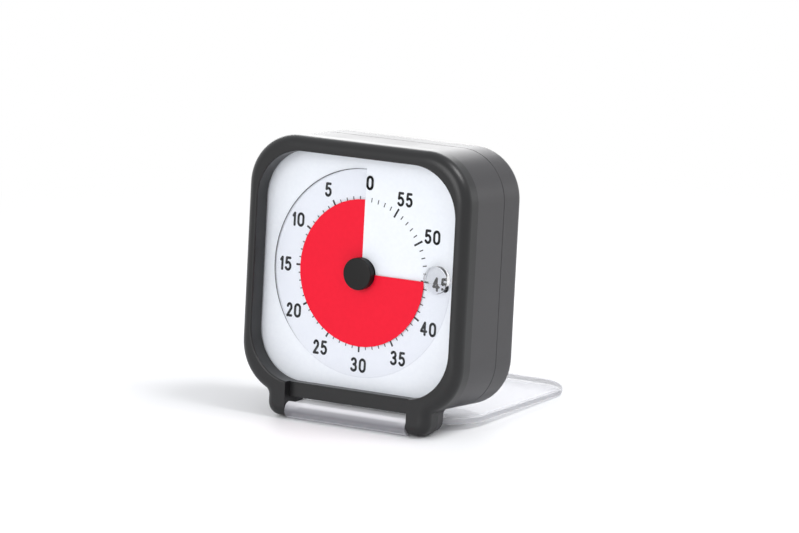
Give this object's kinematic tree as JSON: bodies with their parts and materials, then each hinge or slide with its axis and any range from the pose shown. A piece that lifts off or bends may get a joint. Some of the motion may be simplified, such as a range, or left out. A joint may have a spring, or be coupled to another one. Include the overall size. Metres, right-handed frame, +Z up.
{
  "type": "visual countdown timer",
  "caption": "Small square black desk timer with a red disc that shrinks over a white dial, a finger tab and knob, and a clear lid folded under as its stand.",
  "frame": {"origin": "on the floor, under the centre of the timer's bounding box with the lid folded back as its stand", "axes": "+Z up; the dial faces -Y and leans back about the X axis; +X is to the right seen from the front"},
  "size_m": [0.0762, 0.0787, 0.0835],
  "materials": {
    "black_plastic": "satin moulded plastic",
    "white_card": "printed white card",
    "clear_plastic": "clear polished plastic",
    "clear_film": "thin clear film",
    "red_film": "printed red film",
    "grey_plastic": "plain grey plastic",
    "steel": "bright steel",
    "brass": "brass",
    "copper_wire": "enamelled copper wire",
    "board_laminate": "glass laminate with a green mask",
    "resin": "black potting resin",
    "ceramic": "white ceramic",
    "cell_jacket": "plain printed sleeve"
  },
  "bodies": {
    "case": {"battery_cell": "cell_jacket", "case_screws": "steel", "circuit_board": "board_laminate", "coil_bobbin": "grey_plastic", "coil_core": "steel", "coil_winding": "copper_wire", "contact_negative": "steel", "contact_positive": "steel", "contact_spring": "steel", "dial_face": "white_card", "driver_chip": "resin", "front_frame": "black_plastic", "hinge_pins": "steel", "mid_case": "black_plastic", "movement_back": "grey_plastic", "movement_front": "grey_plastic", "quartz_crystal": "steel", "rear_cover": "black_plastic", "sounder_ceramic": "ceramic", "sounder_plate": "brass", "stator": "steel", "switch_can": "steel"},
    "spindle_set": {"set_knob": "black_plastic", "disc_hub": "black_plastic", "spindle": "steel"},
    "film": {"clear_disc": "clear_film", "red_disc": "red_film", "finger_tab": "clear_plastic"},
    "lid": {"lid_stand": "clear_plastic"},
    "door": {"battery_door": "black_plastic"},
    "switch": {"alarm_switch": "black_plastic"},
    "output": {"output_wheel": "brass"},
    "third": {"third_wheel": "grey_plastic"},
    "second": {"second_wheel": "grey_plastic"},
    "rotor_body": {"rotor": "grey_plastic"}
  },
  "joints": [
    {"name": "disc_turn", "type": "hinge", "parent": "case", "child": "spindle_set", "pos_m": [0, -0.02906, 0.04464], "axis": [0, -0.9956, 0.0941], "range_deg": [-270, 90]},
    {"name": "film_feed", "type": "slide", "parent": "spindle_set", "child": "film", "axis": [0, -0.9956, 0.0941], "range_m": [-0.00076, 0.00026]},
    {"name": "lid_hinge", "type": "hinge", "parent": "case", "child": "lid", "pos_m": [0, -0.03695, 0.0026], "axis": [-1, 0, 0], "range_deg": [0, 273.7]},
    {"name": "door_slide", "type": "slide", "parent": "case", "child": "door", "axis": [-1, 0, 0], "range_m": [0, 0.008]},
    {"name": "switch_slide", "type": "slide", "parent": "case", "child": "switch", "axis": [0, 0.0941, 0.9956], "range_m": [0, 0.003]},
    {"name": "output_turn", "type": "hinge", "parent": "case", "child": "output", "pos_m": [0, -0.02428, 0.04419], "axis": [0, -0.9956, 0.0941], "continuous": true},
    {"name": "third_turn", "type": "hinge", "parent": "case", "child": "third", "pos_m": [-0.00764, -0.02257, 0.0517], "axis": [0, -0.9956, 0.0941], "continuous": true},
    {"name": "second_turn", "type": "hinge", "parent": "case", "child": "second", "pos_m": [0.00072, -0.02102, 0.05743], "axis": [0, -0.9956, 0.0941], "continuous": true},
    {"name": "rotor_turn", "type": "hinge", "parent": "case", "child": "rotor_body", "pos_m": [0.0103, -0.01936, 0.05377], "axis": [0, -0.9956, 0.0941], "continuous": true}
  ],
  "couplings": [
    {"joint": "film_feed", "follows": "disc_turn", "m_per_rad": 0.00015915},
    {"joint": "third_turn", "follows": "output_turn", "ratio": -8},
    {"joint": "second_turn", "follows": "output_turn", "ratio": 60},
    {"joint": "rotor_turn", "follows": "output_turn", "ratio": -450}
  ]
}
